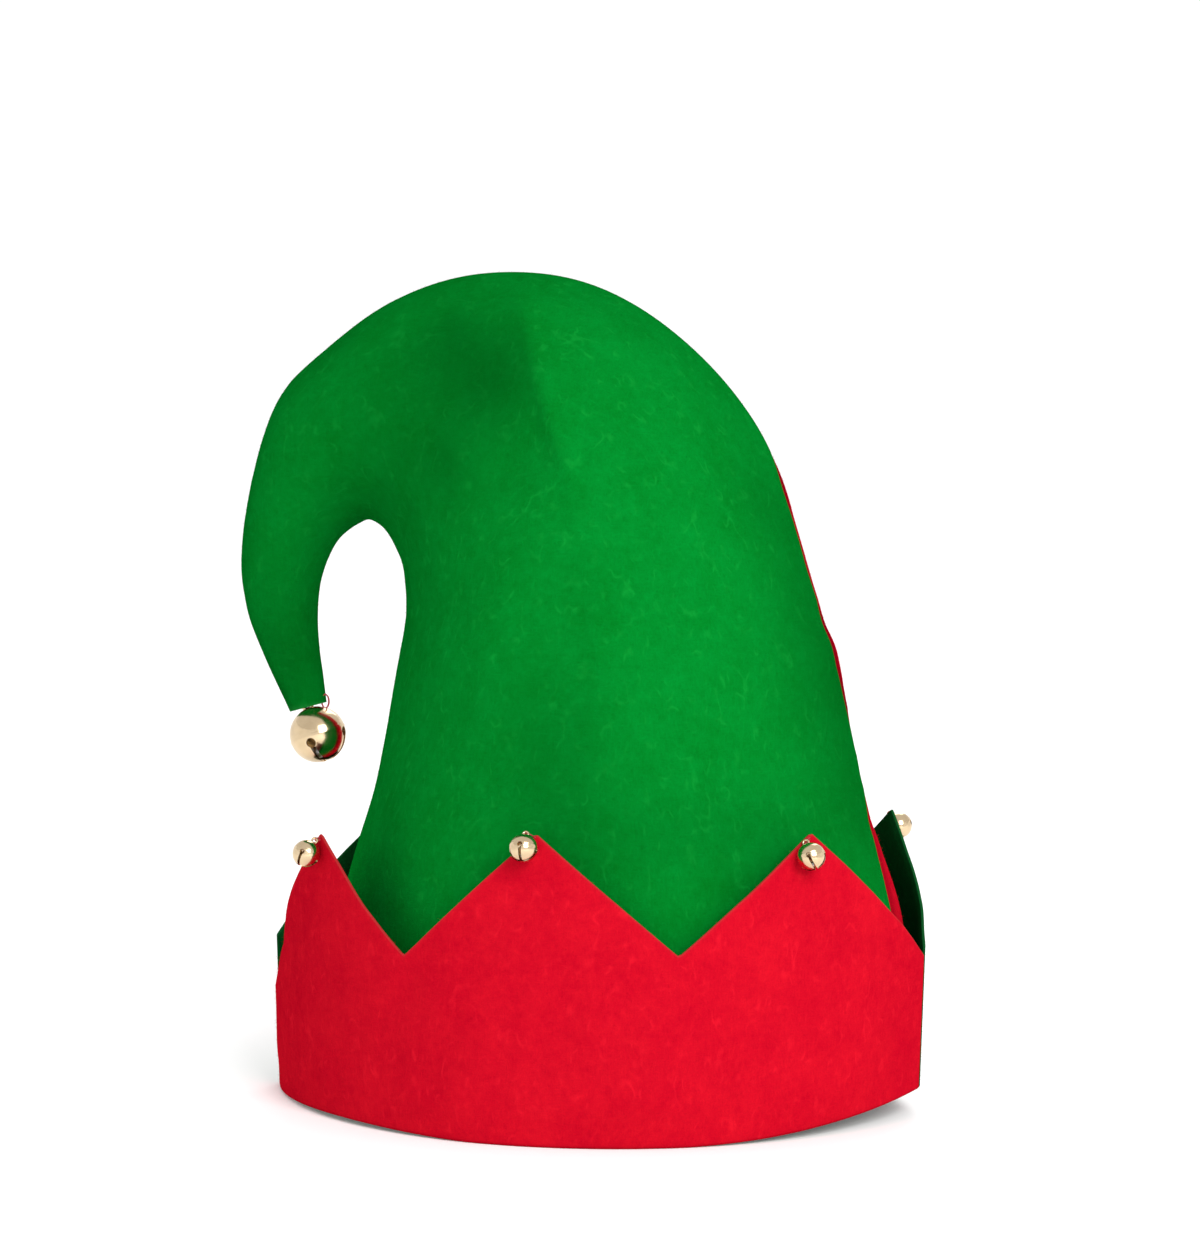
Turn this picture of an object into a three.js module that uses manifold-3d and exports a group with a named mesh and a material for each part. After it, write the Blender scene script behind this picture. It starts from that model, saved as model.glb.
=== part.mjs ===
// An elf hat of felt: a curled two-piece crown in a zigzag cuff, with a jingle bell on each point.
// Millimetres, +Z up. It stands on its rim, the front faces -Y and the tail curls towards -X.
import * as THREE from "three";
import { mergeVertices } from "three/addons/utils/BufferGeometryUtils.js";
import Module from "manifold-3d";

const wasm = await Module();
wasm.setup();

// Driving dimensions
const rimWidth = 227.5; // between the side seams, outside the cuff
const rimDepth = 170; // front to back, outside the cuff
const hatHeight = 283; // rim to the top of the curl
const cuffHeight = 102; // rim to the tallest point of the zigzag
const cuffFlare = 3; // how far the cuff leans out at that height
const felt = 1.5; // thickness of the felt
const clearance = 0.3; // between pieces that touch
const panelArc = THREE.MathUtils.degToRad(72); // half the arc that a panel bulges through

const tipBell = { radius: 9.8, wall: 0.7, slot: 1.8, wire: 0.6, ring: 2.1, pellet: 2.4 };
const cuffBell = { radius: 4.6, wall: 0.5, slot: 0.9, wire: 0.35, ring: 0.9, pellet: 1.1 };
const tipBellGap = 0.3; // from the end of the tail to the bell's shell

// How finely the round shapes are cut into flat faces
const crownRows = 38;
const crownColumns = 16;
const cuffRows = 5;
const columnsPerTooth = 6;
const tipBellSides = 16;
const cuffBellSides = 10;
const wireSides = 5;

const front = -1;
const back = 1;
const side = { front, back };

// The crown's sections, rim to tip. innerX and outerX place the two seams as shares of the crown's
// half width at the rim, innerZ and outerZ as shares of the hat's height; the inner seam is the one
// inside the curl. hollow is the space under a panel, as a share of that at the rim, and sway
// pushes the outer seam to the front, as a share of the rim's depth.
const crownSections = [
  { innerX: -1.0, innerZ: 0.0, outerX: 1.0, outerZ: 0.0, hollow: 1.0, sway: 0.0 },
  { innerX: -0.870, innerZ: 0.145, outerX: 0.975, outerZ: 0.16, hollow: 0.965, sway: 0.03 },
  { innerX: -0.773, innerZ: 0.28, outerX: 0.911, outerZ: 0.301, hollow: 0.92, sway: 0.03 },
  { innerX: -0.689, innerZ: 0.386, outerX: 0.821, outerZ: 0.407, hollow: 0.86, sway: -0.006 },
  { innerX: -0.626, innerZ: 0.516, outerX: 0.798, outerZ: 0.53, hollow: 0.79, sway: 0.04 },
  { innerX: -0.596, innerZ: 0.583, outerX: 0.729, outerZ: 0.596, hollow: 0.735, sway: 0.015 },
  { innerX: -0.602, innerZ: 0.636, outerX: 0.652, outerZ: 0.692, hollow: 0.67, sway: 0.02 },
  { innerX: -0.627, innerZ: 0.663, outerX: 0.537, outerZ: 0.798, hollow: 0.61, sway: -0.006 },
  { innerX: -0.656, innerZ: 0.682, outerX: 0.364, outerZ: 0.887, hollow: 0.56, sway: -0.008 },
  { innerX: -0.686, innerZ: 0.693, outerX: 0.135, outerZ: 0.958, hollow: 0.51, sway: -0.008 },
  { innerX: -0.719, innerZ: 0.698, outerX: -0.105, outerZ: 0.994, hollow: 0.455, sway: -0.008 },
  { innerX: -0.751, innerZ: 0.693, outerX: -0.387, outerZ: 0.996, hollow: 0.395, sway: -0.008 },
  { innerX: -0.783, innerZ: 0.685, outerX: -0.642, outerZ: 0.964, hollow: 0.335, sway: -0.008 },
  { innerX: -0.818, innerZ: 0.672, outerX: -0.863, outerZ: 0.904, hollow: 0.28, sway: -0.008 },
  { innerX: -0.851, innerZ: 0.649, outerX: -1.003, outerZ: 0.849, hollow: 0.225, sway: -0.008 },
  { innerX: -0.876, innerZ: 0.617, outerX: -1.090, outerZ: 0.758, hollow: 0.165, sway: -0.008 },
  { innerX: -0.884, innerZ: 0.577, outerX: -1.134, outerZ: 0.66, hollow: 0.115, sway: -0.008 },
  { innerX: -0.878, innerZ: 0.538, outerX: -1.119, outerZ: 0.59, hollow: 0.075, sway: -0.008 },
  { innerX: -0.867, innerZ: 0.507, outerX: -1.064, outerZ: 0.531, hollow: 0.035, sway: -0.004 },
  { innerX: -0.858, innerZ: 0.474, outerX: -0.976, outerZ: 0.461, hollow: 0.0, sway: -0.004 },
];

// Soft dents in the crown. along counts the rows of the table above, across runs from the inner
// seam (-1) to the outer one (1), and depth is a share of the rim's depth, negative for a swell.
const crownDents = [
  { panel: "front", along: 10.4, across: 0.0, length: 1.5, breadth: 0.5, depth: 0.02 },
  { panel: "front", along: 8.0, across: 0.2, length: 1.2, breadth: 0.5, depth: -0.015 },
  { panel: "front", along: 12.2, across: -0.75, length: 1.6, breadth: 0.3, depth: 0.02 },
  { panel: "front", along: 5.4, across: -0.7, length: 1.2, breadth: 0.3, depth: 0.02 },
  { panel: "back", along: 10.0, across: 0.0, length: 1.4, breadth: 0.5, depth: 0.03 },
  { panel: "back", along: 5.0, across: -0.65, length: 1.0, breadth: 0.3, depth: 0.02 },
];

// Creases, each on a line from one place to another. On its left the felt drops away by drop over
// the distance steep, and comes back over the distance reach. X is a share of the crown's half
// width, Z of the hat's height, and the others of the rim's depth.
const crownCreases = [
  { panel: "front", fromX: -0.2, fromZ: 0.97, toX: 0.02, toZ: 0.77, drop: 0.055, steep: 0.05, reach: 0.3 },
  { panel: "front", fromX: 0.15, fromZ: 0.62, toX: 0.18, toZ: 0.42, drop: 0.012, steep: 0.06, reach: 0.2 },
  { panel: "back", fromX: -0.22, fromZ: 0.95, toX: -0.02, toZ: 0.77, drop: 0.035, steep: 0.05, reach: 0.3 },
];
const creaseEnd = 0.09; // how gently a crease ends, as a share of the rim's depth

// The rim's rise off the surface, at even steps from the left seam to the right one, as a share
// of the cuff's height. It stands on the parts between.
const rimRises = [{ rise: -0.004 }, { rise: 0.015 }, { rise: -0.004 }, { rise: 0.01 }, { rise: 0.088 }];

// The zigzag's corners across each cuff panel, from the left side seam to the right one. height
// is a share of the cuff's height. A corner with a bell is a point of the zigzag: its bell's centre
// lies below it by drop and towards the left seam by aside, as shares of the bell's diameter.
const zigzag = {
  front: [
    { across: -1, height: 0.42 },
    { across: -0.548, height: 0.941, bell: "left", drop: 0.7, aside: 0.1 },
    { across: -0.282, height: 0.585 },
    { across: 0.032, height: 1, bell: "middle", drop: 0.43, aside: 0.32 },
    { across: 0.33, height: 0.613 },
    { across: 0.625, height: 0.985, bell: "right", drop: 0.76, aside: 0.34 },
    { across: 1, height: 0.525 },
  ],
  back: [
    { across: -1, height: 0.505 },
    { across: -0.64, height: 0.91, bell: "left", drop: 0.65, aside: 0.2 },
    { across: -0.32, height: 0.6 },
    { across: 0.02, height: 0.98, bell: "middle", drop: 0.6, aside: 0.2 },
    { across: 0.37, height: 0.6 },
    { across: 0.723, height: 0.964, bell: "right", drop: 0.72, aside: 0.55 },
    { across: 1, height: 0.55 },
  ],
};

const finish = {
  greenFelt: new THREE.MeshStandardMaterial({ color: 0x04902f, roughness: 0.95, metalness: 0 }),
  redFelt: new THREE.MeshStandardMaterial({ color: 0xdf1029, roughness: 0.95, metalness: 0 }),
  gold: new THREE.MeshStandardMaterial({ color: 0xdcc48a, roughness: 0.2, metalness: 1 }),
  steel: new THREE.MeshStandardMaterial({ color: 0x9a9a98, roughness: 0.35, metalness: 1 }),
};

// Sizes that follow from those above
const feltEdge = felt / Math.sin(panelArc); // the felt's thickness where a panel meets its seam
const crownHalfWidth = rimWidth / 2 - feltEdge - clearance;
const rimHollow = rimDepth / 2 - 2 * felt - 1.5 * clearance; // under a crown panel at the rim
const tipHollow = tipBell.wire + 2 * clearance; // room for the bell's ring between the panels
const seamTuck = 0.5; // how far the outer seam moves in for each millimetre that it sways to the front

// A panel's round section: its place across the chord, and its height over it, both 1 at most.
const acrossChord = (v) => Math.sin(v * panelArc) / Math.sin(panelArc);
const overChord = (v) => (Math.cos(v * panelArc) - Math.cos(panelArc)) / (1 - Math.cos(panelArc));

// A table's column at a place counted in rows, on a smooth curve through the rows.
function columnAt(table, column, row) {
  const last = table.length - 1;
  const start = Math.min(Math.floor(row), last - 1);
  const t = row - start;
  const at = (i) => {
    if (i < 0) return 2 * table[0][column] - table[1][column];
    if (i > last) return 2 * table[last][column] - table[last - 1][column];
    return table[i][column];
  };
  const [a, b, c, d] = [at(start - 1), at(start), at(start + 1), at(start + 2)];
  const rise = (c - a) / 2;
  const fall = (d - b) / 2;
  return b + t * (rise + t * (3 * (c - b) - 2 * rise - fall + t * (2 * (b - c) + rise + fall)));
}

// How far the rim is off the surface at a place across a panel.
function riseAt(v) {
  const row = ((v + 1) / 2) * (rimRises.length - 1);
  return Math.max(0, columnAt(rimRises, "rise", row)) * cuffHeight;
}

// How deep the dents of a panel are at a place, in millimetres.
function dentAt(panel, row, v) {
  let depth = 0;
  for (const dent of crownDents.filter((d) => d.panel === panel)) {
    const away = ((row - dent.along) / dent.length) ** 2 + ((v - dent.across) / dent.breadth) ** 2;
    depth += dent.depth * rimDepth * Math.exp(-away);
  }
  return depth * (1 - v ** 2);
}

// How far the creases of a panel let the felt drop at a place seen from the front, in millimetres.
function creaseAt(panel, x, z) {
  let drop = 0;
  for (const crease of crownCreases.filter((c) => c.panel === panel)) {
    const from = new THREE.Vector2(crease.fromX * crownHalfWidth, crease.fromZ * hatHeight);
    const line = new THREE.Vector2(crease.toX * crownHalfWidth, crease.toZ * hatHeight).sub(from);
    const length = line.length();
    line.normalize();
    const away = new THREE.Vector2(x, z).sub(from);
    const along = away.dot(line);
    const aside = Math.max(0, away.x * line.y - away.y * line.x);
    const past = Math.max(0, -along, along - length) / (creaseEnd * rimDepth);
    const shape = (1 - Math.exp(-aside / (crease.steep * rimDepth))) * Math.exp(-((aside / (crease.reach * rimDepth)) ** 2));
    drop += crease.drop * rimDepth * shape * Math.exp(-(past ** 2));
  }
  return drop;
}

// A point of the crown: u runs from rim to tip and v from the inner to the outer seam, and inset
// is 0 on the outside of the felt and the felt's thickness on the inside.
function crownPoint(panel, u, v, inset) {
  const row = u * (crownSections.length - 1);
  const at = (column) => columnAt(crownSections, column, row);
  const inner = new THREE.Vector2(at("innerX") * crownHalfWidth, at("innerZ") * hatHeight);
  const outer = new THREE.Vector2(at("outerX") * crownHalfWidth, at("outerZ") * hatHeight);
  const middle = inner.clone().add(outer).divideScalar(2);
  const half = outer.clone().sub(middle);
  half.setLength(half.length() - inset / Math.sin(panelArc));
  const sway = at("sway") * rimDepth * Math.max(0, v) ** 8;
  const tuck = seamTuck * Math.max(0, sway);
  const place = middle.addScaledVector(half, acrossChord(v)).addScaledVector(half.normalize(), -tuck);
  const reach = tipHollow + at("hollow") * (rimHollow - tipHollow) + felt - inset;
  const creases = creaseAt(panel, place.x, place.y) * (1 - v ** 2);
  const dent = (dentAt(panel, row, v) + creases) * Math.min(1, at("hollow") * 3);
  const out = clearance / 2 + Math.max(0, reach * overChord(v) - dent);
  const rise = riseAt(v) * Math.max(0, 1 - 4 * u);
  return new THREE.Vector3(place.x, side[panel] * out - sway, place.y + rise);
}

// The height of the zigzag's edge at a place across a cuff panel.
function zigzagHeight(panel, v) {
  const corners = zigzag[panel];
  const next = Math.max(1, corners.findIndex((corner) => corner.across >= v - 1e-9));
  const [a, b] = [corners[next - 1], corners[next]];
  const t = (v - a.across) / (b.across - a.across);
  return THREE.MathUtils.lerp(a.height, b.height, t) * cuffHeight;
}

// A point of the cuff: u runs from the rim up to the zigzag, v from the left seam to the right one.
function cuffPoint(panel, u, v, inset) {
  const rise = u * zigzagHeight(panel, v);
  const flare = cuffFlare * (rise / cuffHeight);
  const halfWidth = rimWidth / 2 + flare - inset / Math.sin(panelArc);
  const reach = rimDepth / 2 - clearance / 2 + flare - inset;
  const out = clearance / 2 + reach * overChord(v);
  return new THREE.Vector3(
    halfWidth * acrossChord(v),
    side[panel] * out,
    rise + riseAt(v) * (1 - u),
  );
}

// A closed solid from a list of points and a list of triangles, turned to face outwards.
function closedGeometry(points, triangles) {
  let volume = 0;
  for (const [a, b, c] of triangles) {
    volume += points[a].dot(points[b].clone().cross(points[c]));
  }
  const outward = volume < 0 ? triangles.map(([a, b, c]) => [a, c, b]) : triangles;
  return new THREE.BufferGeometry().setFromPoints(points).setIndex(outward.flat());
}

// A panel of felt with thickness: an outer and an inner sheet, joined along all four edges.
function feltGeometry(pointAt, rowPlaces, columnPlaces) {
  const columns = columnPlaces.length;
  const ring = 2 * columns;
  const points = [];
  for (const u of rowPlaces) {
    for (const v of columnPlaces) points.push(pointAt(u, v, 0));
    for (const v of columnPlaces.toReversed()) points.push(pointAt(u, v, felt));
  }
  const triangles = [];
  const quad = (a, b, c, d) => triangles.push([a, b, c], [a, c, d]);
  for (let row = 0; row < rowPlaces.length - 1; row++) {
    for (let i = 0; i < ring; i++) {
      const next = (i + 1) % ring;
      quad(row * ring + i, row * ring + next, (row + 1) * ring + next, (row + 1) * ring + i);
    }
  }
  const top = (rowPlaces.length - 1) * ring;
  for (let i = 0; i < columns - 1; i++) {
    quad(i + 1, i, ring - 1 - i, ring - 2 - i);
    quad(top + i, top + i + 1, top + ring - 2 - i, top + ring - 1 - i);
  }
  return closedGeometry(points, triangles);
}

const steps = (from, to, count) =>
  Array.from({ length: count + 1 }, (_, i) => THREE.MathUtils.lerp(from, to, i / count));

// Columns for a cuff panel, with one on each corner of the zigzag.
function toothColumns(panel) {
  const corners = zigzag[panel];
  const places = [corners[0].across];
  for (let i = 1; i < corners.length; i++) {
    places.push(...steps(corners[i - 1].across, corners[i].across, columnsPerTooth).slice(1));
  }
  return places;
}

// Joining and cutting
function solidOf(geometry) {
  const bare = geometry.clone();
  bare.deleteAttribute("normal");
  bare.deleteAttribute("uv");
  const merged = mergeVertices(bare, 1e-4);
  const mesh = new wasm.Mesh({
    numProp: 3,
    vertProperties: new Float32Array(merged.attributes.position.array),
    triVerts: new Uint32Array(merged.index.array),
  });
  return new wasm.Manifold(mesh);
}

function geometryOf(solid) {
  const { vertProperties, triVerts } = solid.getMesh();
  const geometry = new THREE.BufferGeometry();
  geometry.setAttribute("position", new THREE.BufferAttribute(vertProperties, 3));
  geometry.setIndex(new THREE.BufferAttribute(triVerts, 1));
  return geometry;
}

// A jingle bell round its own centre: a thin shell with a cross of slots below, and a ring on top
// that stands in the XZ plane.
function bellGeometry(bell, sides) {
  const ball = (radius) => solidOf(new THREE.SphereGeometry(radius, sides, sides / 2).rotateX(Math.PI / 2));
  const slotTop = -bell.radius * 0.22;
  const slotBottom = -bell.radius * 1.1;
  const slotLength = 2.4 * bell.radius;
  let shell = ball(bell.radius).subtract(ball(bell.radius - bell.wall));
  for (const turn of [0, Math.PI / 2]) {
    const slot = new THREE.BoxGeometry(slotLength, bell.slot, slotTop - slotBottom);
    slot.translate(0, 0, (slotTop + slotBottom) / 2).rotateZ(turn);
    const hole = new THREE.CylinderGeometry(bell.slot, bell.slot, slotLength, 8);
    hole.rotateZ(Math.PI / 2).translate(0, 0, slotTop).rotateZ(turn);
    shell = shell.subtract(solidOf(slot)).subtract(solidOf(hole));
  }
  const ring = new THREE.TorusGeometry(bell.ring, bell.wire, wireSides, sides).rotateX(Math.PI / 2);
  ring.translate(0, 0, ringCentre(bell));
  return geometryOf(shell.add(solidOf(ring).subtract(ball(bell.radius - bell.wall))));
}

// How far a bell's ring stands from the bell's centre: it is sunk a little into the shell.
function ringCentre(bell) {
  return bell.radius - bell.wall / 2 + bell.ring;
}

// The loose ball in a bell, which lies at the lowest place inside it.
function pelletMesh(bell, sides, centre) {
  const room = (bell.radius - bell.wall) * Math.cos(Math.PI / sides) ** 2 - clearance / 2;
  const mesh = new THREE.Mesh(new THREE.SphereGeometry(bell.pellet, 8, 6), finish.steel);
  mesh.position.copy(centre).setZ(centre.z - (room - bell.pellet));
  return mesh;
}

// A bell and its loose ball, with the bell's ring turned towards a direction.
function addBell(group, name, bell, sides, centre, towardRing) {
  const shell = new THREE.Mesh(bellGeometry(bell, sides), finish.gold);
  shell.name = name;
  shell.position.copy(centre);
  const upright = new THREE.Vector3(0, 0, 1);
  shell.quaternion.setFromUnitVectors(upright, towardRing.clone().normalize());
  const pellet = pelletMesh(bell, sides, centre);
  pellet.name = `${name}_pellet`;
  group.add(shell, pellet);
}

function addPanel(group, name, geometry, material) {
  const mesh = new THREE.Mesh(geometry, material);
  mesh.name = name;
  group.add(mesh);
}

// The bell at the end of the tail hangs in line with it, with its ring between the two panels.
function addTipBell(group) {
  const tipEnd = (u) => crownPoint("front", u, -1, 0).add(crownPoint("front", u, 1, 0)).divideScalar(2);
  const end = tipEnd(1).setY(0);
  const alongTail = end.clone().sub(tipEnd(1 - 1 / crownRows).setY(0)).normalize();
  const centre = end.addScaledVector(alongTail, tipBell.radius + tipBellGap);
  addBell(group, "tip_bell", tipBell, tipBellSides, centre, alongTail.negate());
}

// A bell on each point of the zigzag rests against the felt and leans its ring on it.
function addCuffBells(group, panel) {
  const reach = ringCentre(cuffBell);
  const lean = Math.asin((cuffBell.radius - cuffBell.ring - cuffBell.wire) / reach);
  for (const corner of zigzag[panel].filter((c) => c.bell)) {
    const peak = corner.height * cuffHeight;
    const share = (peak - corner.drop * 2 * cuffBell.radius) / peak;
    const place = cuffPoint(panel, share, corner.across, 0);
    const up = cuffPoint(panel, 1, corner.across, 0).sub(place).normalize();
    const step = 1e-3;
    const sideways = cuffPoint(panel, share, corner.across + step, 0)
      .sub(cuffPoint(panel, share, corner.across - step, 0))
      .setZ(0)
      .normalize();
    const outward = sideways.clone().cross(up).multiplyScalar(-side[panel]).normalize();
    const centre = place.addScaledVector(outward, cuffBell.radius + clearance);
    centre.addScaledVector(sideways, -corner.aside * 2 * cuffBell.radius);
    const towardRing = up.multiplyScalar(Math.cos(lean)).addScaledVector(outward, -Math.sin(lean));
    addBell(group, `cuff_bell_${panel}_${corner.bell}`, cuffBell, cuffBellSides, centre, towardRing);
  }
}

const hat = new THREE.Group();
const crownFelt = { front: finish.greenFelt, back: finish.redFelt };
const cuffFelt = { front: finish.redFelt, back: finish.greenFelt };
for (const panel of ["front", "back"]) {
  const crown = feltGeometry(
    (u, v, inset) => crownPoint(panel, u, v, inset),
    steps(0, 1, crownRows),
    steps(-1, 1, crownColumns),
  );
  addPanel(hat, `crown_${panel}`, crown, crownFelt[panel]);
  const cuff = feltGeometry(
    (u, v, inset) => cuffPoint(panel, u, v, inset),
    steps(0, 1, cuffRows),
    toothColumns(panel),
  );
  addPanel(hat, `cuff_${panel}`, cuff, cuffFelt[panel]);
  addCuffBells(hat, panel);
}
addTipBell(hat);

// The origin is the middle of the hat's footprint, on the surface that the rim stands on.
const footprint = new THREE.Box3().setFromObject(hat);
const centre = footprint.getCenter(new THREE.Vector3());
hat.position.set(-centre.x, -centre.y, -footprint.min.z);

export default hat;
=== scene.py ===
# The looks of the felt elf hat, in metres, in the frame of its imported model.
import math

import bmesh
import bpy
import numpy as np
from mathutils import Matrix, Vector


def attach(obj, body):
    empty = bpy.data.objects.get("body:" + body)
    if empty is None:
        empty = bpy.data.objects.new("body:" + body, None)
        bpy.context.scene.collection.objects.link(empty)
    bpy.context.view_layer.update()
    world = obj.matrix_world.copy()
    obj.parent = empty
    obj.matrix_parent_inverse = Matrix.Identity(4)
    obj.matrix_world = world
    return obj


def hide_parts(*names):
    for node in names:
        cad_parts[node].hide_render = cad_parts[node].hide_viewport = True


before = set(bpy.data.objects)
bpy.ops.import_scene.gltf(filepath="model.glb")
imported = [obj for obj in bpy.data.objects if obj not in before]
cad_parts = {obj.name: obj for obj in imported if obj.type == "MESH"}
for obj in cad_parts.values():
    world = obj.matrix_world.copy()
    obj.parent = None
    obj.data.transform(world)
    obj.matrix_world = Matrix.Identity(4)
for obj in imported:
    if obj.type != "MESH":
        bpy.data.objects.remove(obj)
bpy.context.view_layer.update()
scene = bpy.context.scene
mm = 0.001


# Camera, floor and light
view = {"target": (0.00831, 0.0, 0.1628), "azimuth": 15, "elevation": 4, "distance": 1.3, "lens": 110.1}


def makeCamera():
    camera = bpy.data.objects.new("camera", bpy.data.cameras.new("camera"))
    scene.collection.objects.link(camera)
    camera.data.lens = view["lens"]
    camera.data.sensor_width = 36
    camera.data.clip_end = 50
    turn, tilt = math.radians(view["azimuth"]), math.radians(view["elevation"])
    away = Vector((math.sin(turn) * math.cos(tilt), -math.cos(turn) * math.cos(tilt), math.sin(tilt)))
    camera.location = Vector(view["target"]) + away * view["distance"]
    camera.rotation_euler = away.to_track_quat("Z", "Y").to_euler()
    scene.camera = camera


makeCamera()

lights = [
    {"name": "key", "at": (1.0, -1.3, 1.0), "size": 0.9, "power": 30},
    {"name": "back", "at": (-0.2, 1.4, 1.4), "size": 1.2, "power": 10},
]
world = {"colour": (1, 1, 1), "strength": 0.8}


def makeLights():
    for light in lights:
        data = bpy.data.lights.new(light["name"], "AREA")
        data.energy, data.size = light["power"], light["size"]
        lamp = bpy.data.objects.new(light["name"], data)
        scene.collection.objects.link(lamp)
        lamp.location = light["at"]
        lamp.rotation_euler = (Vector(light["at"]) - Vector((0, 0, 0.12))).to_track_quat("Z", "Y").to_euler()
    sky = bpy.data.worlds.new("studio")
    sky.use_nodes = True
    glow = sky.node_tree.nodes["Background"].inputs
    glow["Color"].default_value = (*world["colour"], 1)
    glow["Strength"].default_value = world["strength"]
    scene.world = sky
    scene.view_settings.view_transform = "Standard"


makeLights()


# Shader maths: arithmetic on a wire adds Math nodes to its tree
class Wire:
    def __init__(self, tree, socket=None):
        self.tree, self.socket = tree, socket

    def make(self, kind, settings=(), inputs=(), out=0):
        node = self.tree.nodes.new(kind)
        for key, value in dict(settings).items():
            setattr(node, key, value)
        for key, value in dict(inputs).items():
            if isinstance(value, Wire):
                self.tree.links.new(value.socket, node.inputs[key])
            else:
                node.inputs[key].default_value = value
        return Wire(self.tree, node.outputs[out])

    def math(self, operation, *values):
        return self.make("ShaderNodeMath", {"operation": operation}, dict(enumerate(values)))

    def __add__(self, other):
        return self.math("ADD", self, other)

    def __sub__(self, other):
        return self.math("SUBTRACT", self, other)

    def __rsub__(self, other):
        return self.math("SUBTRACT", other, self)

    def __mul__(self, other):
        return self.math("MULTIPLY", self, other)

    __radd__ = __add__
    __rmul__ = __mul__

    def mixed(self, first, second):
        settings = {"data_type": "RGBA"}
        return self.make("ShaderNodeMix", settings, {0: self, 6: first, 7: second}, out=2)

    def limited(self, low, high):
        inputs = {"Value": self, "From Min": low, "From Max": high}
        return self.make("ShaderNodeMapRange", {"clamp": True}, inputs)


def newMaterial(name):
    material = bpy.data.materials.new(name)
    material.use_nodes = True
    material.node_tree.nodes.clear()
    return material, Wire(material.node_tree)


def finishMaterial(start, surface):
    end = start.tree.nodes.new("ShaderNodeOutputMaterial")
    start.tree.links.new(surface.socket, end.inputs["Surface"])


# Felt: a mottled mat of crossing fibres, with a thin paler line where it is cut, darkened by painted shade
# where its shade mark is set
felts = {
    "green": {
        "slot": "green_felt",
        "colour": (0.0008, 0.175, 0.0185),
        "deep": (0.0006, 0.124, 0.009),
        "edge": (0.02, 0.19, 0.04),
        "flecks": 0.4,
    },
    "darkGreen": {
        "slot": "dark_green_felt",
        "colour": (0.002, 0.075, 0.014),
        "deep": (0.0015, 0.05, 0.008),
        "edge": (0.006, 0.07, 0.018),
        "flecks": 0.2,
    },
    "red": {
        "slot": "red_felt",
        "colour": (0.49, 0.0046, 0.0145),
        "deep": (0.37, 0.0012, 0.0112),
        "edge": (0.30, 0.035, 0.03),
        "flecks": 0.35,
    },
}


def feltMaterial(felt):
    material, start = newMaterial(felt["slot"])
    place = start.make("ShaderNodeTexCoord", out="Object")

    def noise(scale, detail, stretch=None, turn=None):
        at = place
        if stretch:
            at = start.make("ShaderNodeMapping", (), {"Vector": place, "Rotation": turn, "Scale": stretch})
        inputs = {"Vector": at, "Scale": scale, "Detail": detail, "Roughness": 0.6}
        return start.make("ShaderNodeTexNoise", (), inputs)

    grain = noise(1400, 3)
    clumps = noise(330, 2)
    patches = noise(45, 3) * 0.6 + noise(105, 2) * 0.4
    fibres = [
        noise(1, 2, (2600, 330, 330), (0.4, 0.3, 0.9)),
        noise(1, 2, (330, 2600, 330), (0.9, -0.5, 0.2)),
        noise(1, 2, (330, 330, 2600), (-0.3, 0.8, 0.5)),
    ]
    strands = start.math("MAXIMUM", start.math("MAXIMUM", fibres[0], fibres[1]), fibres[2])
    tone = grain * 0.15 + clumps * 0.2 + strands * 0.35 + patches * 0.45
    body = tone.limited(0.45, 0.72).mixed((*felt["deep"], 1), (*felt["colour"], 1))
    curl = noise(1, 1, (150, 260, 110), (0.3, 0.5, 0.7))
    strand = (1 - start.math("ABSOLUTE", curl - 0.5) * 16).limited(0, 1)
    fleck = strand * noise(190, 1).limited(0.5, 0.7)
    pale = tuple(1.35 * part + 0.004 for part in felt["colour"])
    body = (fleck * felt["flecks"]).mixed(body, (*pale, 1))
    # painted shade: where the shade mark is set (beside seams, along the rim, in the front's patches and
    # along its outer side) the felt is mixed towards a much darker copy of its deep colour
    shade = start.make("ShaderNodeAttribute", {"attribute_name": "shade"}, out="Fac")
    worn = start.make("ShaderNodeAttribute", {"attribute_name": "edge"}, out="Fac")
    body = (shade * 0.75).mixed(body, (*[0.4 * part for part in felt["deep"]], 1))
    colour = (worn * 0.6).mixed(body, (*felt["edge"], 1))
    height = grain * 0.3 + clumps * 0.4 + strands * 0.7 + fleck * 0.4
    bump = start.make("ShaderNodeBump", (), {"Strength": 0.6, "Distance": 0.3 * mm, "Height": height})
    inputs = {"Base Color": colour, "Roughness": 0.95, "Specular IOR Level": 0.0, "Normal": bump}
    finishMaterial(start, start.make("ShaderNodeBsdfPrincipled", (), inputs))
    return material


feltMaterials = {name: feltMaterial(felt) for name, felt in felts.items()}


# A pale bowl-shaped floor, the same from every side
floor = {"flat": 1.7, "curve": 1.3, "steps": 24, "turns": 96, "colour": (0.93, 0.93, 0.93), "glow": 0.1}


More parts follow.
